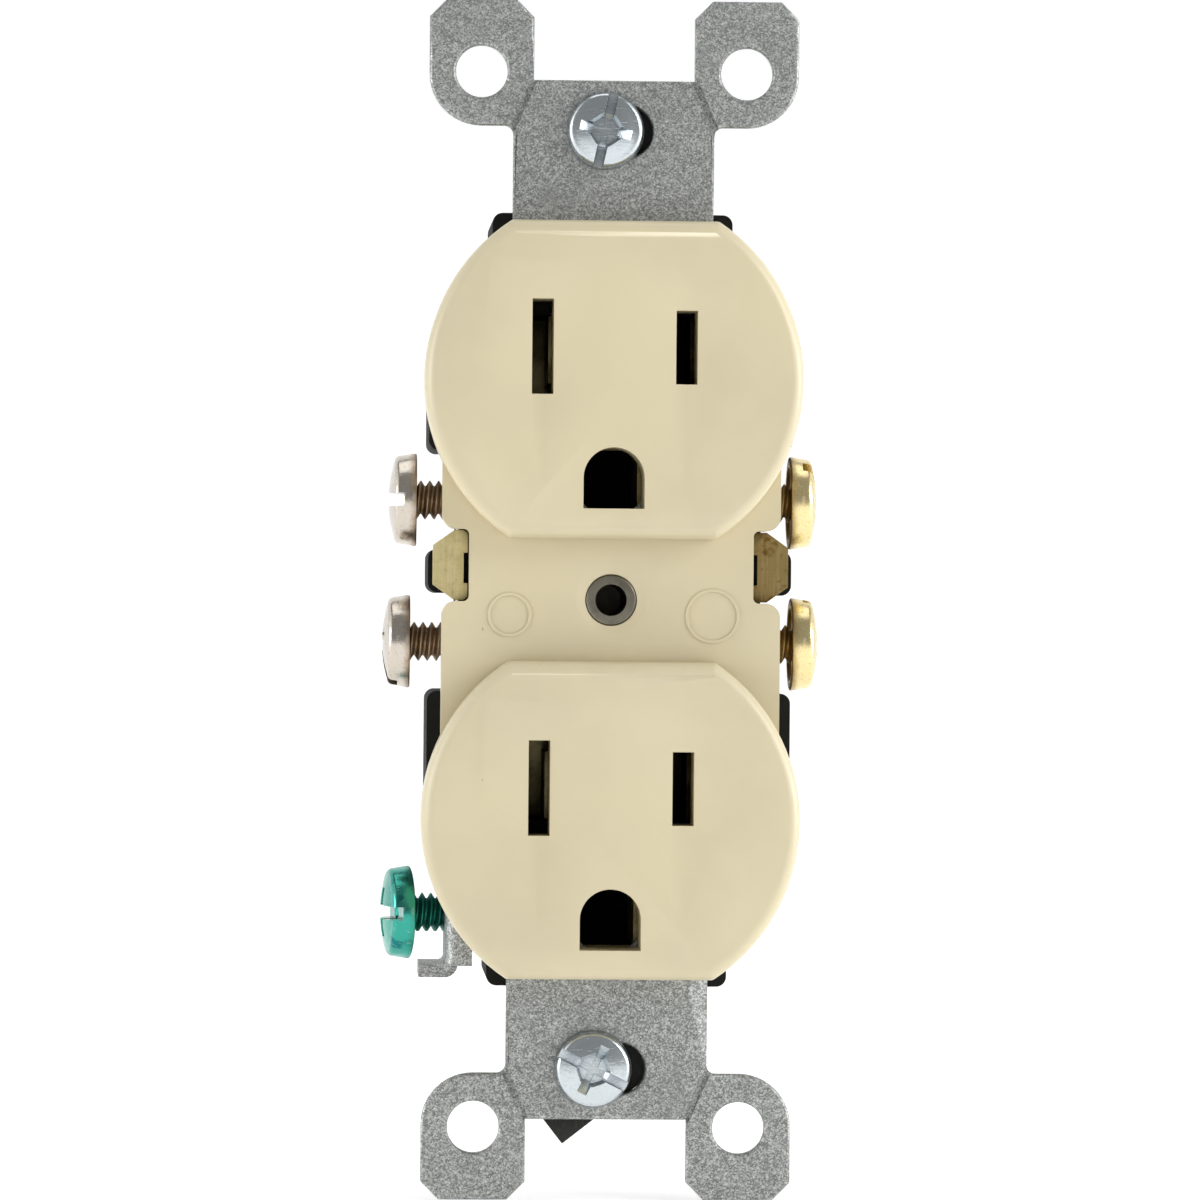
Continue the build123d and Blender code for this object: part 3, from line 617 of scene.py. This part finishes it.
def build_screw(node, side, head_thick, slot_turn, recess, material, slot):
    """A screw with a slot, a cross recess and a real thread, in place of a frame screw."""
    sizes = bpy.context.scene.outlet_sizes
    out, tip, whole, reach = screw_places(node)
    side = Vector(side)
    across = out.cross(side)
    seat = tip + out * (whole - head_thick)
    radius = reach / MM
    thick = head_thick / MM
    shank = whole / MM - thick

    head = spun(head_section(radius, thick, 0.79 * radius, 0.3), 72)
    straight = wedge(
        3 * radius, recess.slot_width, 3 * radius, recess.slot_width * 0.94,
        thick + 1.0, thick - recess.slot_depth,
    )
    arms = []
    for turn in (90, 0):
        arm = wedge(
            recess.cross_length * 1.25, recess.cross_width * 1.12, recess.cross_length * 0.45,
            recess.cross_width * 0.6, thick + 0.35, thick - recess.cross_depth,
        )
        turned(arm, turn)
        arms.append(arm)
    pit = bmesh.new()
    pit_height = recess.cross_depth + 0.1
    bmesh.ops.create_cone(
        pit, cap_ends=True, segments=8, radius1=0.42 * recess.pit_width, radius2=0.5 * recess.pit_width + 0.1,
        depth=pit_height,
    )
    bmesh.ops.translate(pit, verts=pit.verts, vec=(0, 0, thick + 0.2 - pit_height / 2))
    turned(pit, 22.5)
    head = cut(head, [straight, *arms, pit])
    turned(head, slot_turn)
    thread = threaded_shank(sizes.thread_radius / MM, sizes.thread_pitch / MM, shank)
    mesh = bpy.data.meshes.new(node + "_detailed")
    thread.to_mesh(mesh)
    thread.free()
    head.from_mesh(mesh)
    mark_creases(head, math.radians(32))
    head.to_mesh(mesh)
    head.free()
    own = mesh.attributes.new("own", "FLOAT_VECTOR", "POINT")
    places = [number for point in mesh.vertices for number in point.co]
    own.data.foreach_set("vector", places)
    turn = Matrix((side, across, out)).transposed().to_4x4()
    mesh.transform(Matrix.Translation(seat) @ turn @ Matrix.Scale(MM, 4))
    piece = add_piece(node + "_detailed", mesh, material, node, slot, node)
    soften = piece.modifiers.new("rounded edges", "BEVEL")
    soften.limit_method = "ANGLE"
    soften.angle_limit = math.radians(34)
    soften.width = sizes.screw_edge
    soften.segments = 2
    soften.harden_normals = True
    return piece


# ---- Operators ---------------------------------------------------------------------------------------------
class OUTLET_OT_cover(bpy.types.Operator):
    """Round the ivory cover's moulded edges and give it its finish"""

    bl_idname = "outlet.cover"
    bl_label = "Face cover"

    def execute(self, context):
        scene = context.scene
        finish = ivory_plastic(tuple(scene.outlet_colours.ivory))
        softened("face_cover_moulded", "face_cover", scene.outlet_sizes.cover_edge, finish, "ivory_plastic")
        return {"FINISHED"}


class OUTLET_OT_strap(bpy.types.Operator):
    """Round the strap's stamped edges and give it its galvanised skin"""

    bl_idname = "outlet.strap"
    bl_label = "Mounting strap"

    def execute(self, context):
        scene = context.scene
        finish = galvanised_steel(tuple(scene.outlet_colours.galvanised))
        front, rear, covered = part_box("mounting_strap")[0][1], 0.0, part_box("face_cover")[1][2]
        softened(
            "mounting_strap_stamped", "mounting_strap", scene.outlet_sizes.strap_edge, finish,
            "galvanised_steel", segments=3, rims=(front, rear, covered),
        )
        return {"FINISHED"}


class OUTLET_OT_body(bpy.types.Operator):
    """Round the rear body's edges and give it its black moulding"""

    bl_idname = "outlet.body"
    bl_label = "Rear body"

    def execute(self, context):
        scene = context.scene
        finish = black_plastic(tuple(scene.outlet_colours.black))
        softened("back_body_moulded", "back_body", scene.outlet_sizes.body_edge, finish, "black_plastic")
        return {"FINISHED"}


class OUTLET_OT_brass(bpy.types.Operator):
    """Round the bus bars' edges and finish them, the ground contacts and their rivets in brass"""

    bl_idname = "outlet.brass"
    bl_label = "Brass parts"

    def execute(self, context):
        scene = context.scene
        tone = tuple(scene.outlet_colours.brass)
        stain = linear(118, 96, 52)
        finish = stamped_brass("brass", tone, stain, 0.05)
        # The hot bus takes a darker, more tarnished copy of the brass: painted shade on that side's fin.
        painted_shade_brass = stamped_brass("brass_painted_shade", tone, linear(112, 86, 40), 0.8)
        for node, skin in (("neutral_bus", finish), ("hot_bus", painted_shade_brass)):
            softened(node + "_stamped", node, scene.outlet_sizes.brass_edge, skin, "brass")
        for node in ("ground_contact_upper", "ground_contact_lower", "ground_contact_rivets"):
            finish_node(node, finish)
        return {"FINISHED"}


class OUTLET_OT_clamps(bpy.types.Operator):
    """Finish the push-in wire clamps in spring steel"""

    bl_idname = "outlet.clamps"
    bl_label = "Wire clamps"

    def execute(self, context):
        finish = plain_metal("spring_steel", tuple(context.scene.outlet_colours.spring), 0.3)
        for side in ("neutral", "hot"):
            for level in ("upper", "lower"):
                finish_node(f"wire_clamp_{side}_{level}", finish)
        return {"FINISHED"}


class OUTLET_OT_rivet(bpy.types.Operator):
    """Round the centre rivet's flange and head and give it its plating"""

    bl_idname = "outlet.rivet"
    bl_label = "Centre rivet"

    def execute(self, context):
        scene = context.scene
        finish = plain_metal("plated_rivet_steel", tuple(scene.outlet_colours.rivet), 0.28)
        edge = scene.outlet_sizes.rivet_edge
        softened("centre_rivet_turned", "centre_rivet", edge, finish, "plated_rivet_steel")
        return {"FINISHED"}


class OUTLET_OT_washers(bpy.types.Operator):
    """Round the retaining washers' cut edges and finish them in black fibre"""

    bl_idname = "outlet.washers"
    bl_label = "Retaining washers"

    def execute(self, context):
        scene = context.scene
        finish = black_fibre(tuple(scene.outlet_colours.fibre))
        for node in ("retaining_washer_upper", "retaining_washer_lower"):
            piece = softened(node + "_cut", node, scene.outlet_sizes.washer_edge, finish, "black_fibre")
            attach(piece, node)
        return {"FINISHED"}


class OUTLET_OT_terminal_screws(bpy.types.Operator):
    """Build the four terminal screws and the green ground screw"""

    bl_idname = "outlet.terminal_screws"
    bl_label = "Terminal screws"

    def execute(self, context):
        scene = context.scene
        tones = scene.outlet_colours
        thick = scene.outlet_sizes.terminal_head
        # Each screw finish takes: name, plating, thread colour, stain, the colour of the painted shade in its
        # hollows, gloss, and for the green one its lacquer patch colour.
        nickel = plated_screw(
            "nickel_screw", tuple(tones.nickel), linear(168, 138, 104), linear(142, 112, 80),
            linear(84, 66, 48), 0.2,
        )
        brass = plated_screw(
            "brass_screw", tuple(tones.brass_plate), linear(200, 164, 96), linear(160, 126, 70),
            linear(108, 80, 38), 0.24,
        )
        green = plated_screw(
            "green_screw", tuple(tones.green), linear(40, 124, 108), linear(60, 150, 128),
            linear(8, 66, 62), 0.2, linear(16, 104, 116),
        )
        table = (
            ("neutral_screw_upper", 90.0, nickel, "nickel_screw"),
            ("neutral_screw_lower", 20.0, nickel, "nickel_screw"),
            ("hot_screw_upper", 35.0, brass, "brass_screw"),
            ("hot_screw_lower", 10.0, brass, "brass_screw"),
            ("ground_screw", 90.0, green, "green_screw"),
        )
        for node, turn, finish, slot in table:
            build_screw(node, (0, 0, 1), thick, turn, TERMINAL_RECESS, finish, slot)
        return {"FINISHED"}


class OUTLET_OT_mounting_screws(bpy.types.Operator):
    """Build the two captive mounting screws"""

    bl_idname = "outlet.mounting_screws"
    bl_label = "Mounting screws"

    def execute(self, context):
        scene = context.scene
        thick = scene.outlet_sizes.mounting_head
        tone = tuple(scene.outlet_colours.zinc)
        # linear(74, 92, 108) is the colour of the painted shade in the recess.
        finish = plated_screw(
            "zinc_screw", tone, linear(150, 150, 146), linear(156, 160, 160), linear(74, 92, 108), 0.22
        )
        for level, turn in (("upper", 78.0), ("lower", -27.0)):
            node = f"mounting_screw_{level}"
            build_screw(node, (1, 0, 0), thick, turn, MOUNTING_RECESS, finish, "zinc_screw")
        return {"FINISHED"}


class OUTLET_OT_stage(bpy.types.Operator):
    """Set the pale floor and backdrop, the soft lights and the camera"""

    bl_idname = "outlet.stage"
    bl_label = "Stage"

    def execute(self, context):
        scene = context.scene
        sizes = scene.outlet_sizes
        ground = cad_box[0][2]
        reach, rise, sweep = 1.6, 2.2, 0.9      # half the floor, the walls and their curved foot
        work = bmesh.new()
        bmesh.ops.create_grid(work, x_segments=1, y_segments=1, size=reach)
        walls = [edge for edge in work.edges if any(point.co.y > 0 for point in edge.verts)]
        raised = bmesh.ops.extrude_edge_only(work, edges=walls)["geom"]
        tops = [part for part in raised if isinstance(part, bmesh.types.BMVert)]
        bmesh.ops.translate(work, verts=tops, vec=(0, 0, rise))
        low = [edge for edge in work.edges if all(abs(point.co.z) < 1e-6 for point in edge.verts)]
        folds = [edge for edge in low if any(point.co.y > 0 for point in edge.verts)]
        bmesh.ops.bevel(
            work, geom=folds, offset=sweep, offset_type="OFFSET", segments=20, profile=0.5, affect="EDGES",
            material=-1,
        )
        bmesh.ops.translate(work, verts=work.verts, vec=(0, 0, ground - 0.0001))
        bmesh.ops.recalc_face_normals(work, faces=work.faces)
        for face in work.faces:
            face.smooth = True
        mesh = bpy.data.meshes.new("studio_floor")
        work.to_mesh(mesh)
        work.free()
        floor = bpy.data.objects.new("studio_floor", mesh)
        scene.collection.objects.link(floor)
        mesh.materials.append(pale_floor(tuple(scene.outlet_colours.floor)))

        world = bpy.data.worlds.new("studio_world")
        scene.world = world
        world.use_nodes = True
        backdrop = world.node_tree.nodes["Background"]
        backdrop.inputs["Color"].default_value = (1.0, 1.0, 1.0, 1.0)
        backdrop.inputs["Strength"].default_value = 0.29

        aim = Vector((0, 0, 0))
        lights = (      # each one's place, width and power, all aimed at the outlet
            ("key_light", (0.70, -0.42, 0.34), 0.40, 3.0),
            ("left_light", (-0.74, -0.26, 0.14), 0.34, 1.7),
            ("top_light", (0.0, 0.1, 0.95), 0.7, 1.9),
            ("right_rim_light", (0.80, -0.06, 0.05), 0.30, 2.6),
            ("left_rim_light", (-0.80, -0.06, 0.05), 0.30, 0.7),
        )
        for name, spot, size, power in lights:
            data = bpy.data.lights.new(name, "AREA")
            data.shape = "SQUARE"
            data.size = size
            data.energy = power
            lamp = bpy.data.objects.new(name, data)
            lamp.location = spot
            lamp.rotation_euler = (aim - Vector(spot)).to_track_quat("-Z", "Y").to_euler()
            scene.collection.objects.link(lamp)

        data = bpy.data.cameras.new("camera")
        data.sensor_width = 36.0
        data.lens = 36.0 * sizes.camera_distance / sizes.view_width
        data.clip_start = 0.01
        camera = bpy.data.objects.new("camera", data)
        target = Vector((-0.85 * MM, 0.0, 0.0))
        lean = math.radians(2.5)      # a little to the left of square on
        camera.location = target + Vector((-math.sin(lean), -math.cos(lean), 0.0)) * sizes.camera_distance
        view = (target - camera.location).to_track_quat("-Z", "Y").to_matrix()
        roll = Matrix.Rotation(math.radians(0.5), 3, "Z")
        camera.rotation_euler = (view @ roll).to_euler()
        scene.collection.objects.link(camera)
        scene.camera = camera
        scene.view_settings.view_transform = "Standard"
        return {"FINISHED"}


class OUTLET_PT_pieces(bpy.types.Panel):
    """The outlet's pieces, in building order"""

    bl_idname = "OUTLET_PT_pieces"
    bl_label = "Duplex wall outlet"
    bl_space_type = "VIEW_3D"
    bl_region_type = "UI"
    bl_category = "Outlet"

    def draw(self, context):
        for piece in PIECES:
            self.layout.operator(piece.bl_idname)
        for group in (context.scene.outlet_sizes, context.scene.outlet_colours):
            box = self.layout.box()
            for name in group.__annotations__:
                box.prop(group, name)


PIECES = (
    OUTLET_OT_stage,
    OUTLET_OT_cover,
    OUTLET_OT_strap,
    OUTLET_OT_body,
    OUTLET_OT_brass,
    OUTLET_OT_clamps,
    OUTLET_OT_rivet,
    OUTLET_OT_washers,
    OUTLET_OT_terminal_screws,
    OUTLET_OT_mounting_screws,
)
GROUPS = (OUTLET_PG_sizes, OUTLET_PG_colours)


def register():
    for kind in (*GROUPS, *PIECES, OUTLET_PT_pieces):
        bpy.utils.register_class(kind)
    bpy.types.Scene.outlet_sizes = bpy.props.PointerProperty(type=OUTLET_PG_sizes)
    bpy.types.Scene.outlet_colours = bpy.props.PointerProperty(type=OUTLET_PG_colours)


def unregister():
    del bpy.types.Scene.outlet_colours
    del bpy.types.Scene.outlet_sizes
    for kind in (OUTLET_PT_pieces, *reversed(PIECES), *reversed(GROUPS)):
        bpy.utils.unregister_class(kind)


def main():
    register()
    bpy.ops.outlet.stage()
    bpy.ops.outlet.cover()
    bpy.ops.outlet.strap()
    bpy.ops.outlet.body()
    bpy.ops.outlet.brass()
    bpy.ops.outlet.clamps()
    bpy.ops.outlet.rivet()
    bpy.ops.outlet.washers()
    bpy.ops.outlet.terminal_screws()
    bpy.ops.outlet.mounting_screws()


if __name__ == "__main__":
    main()
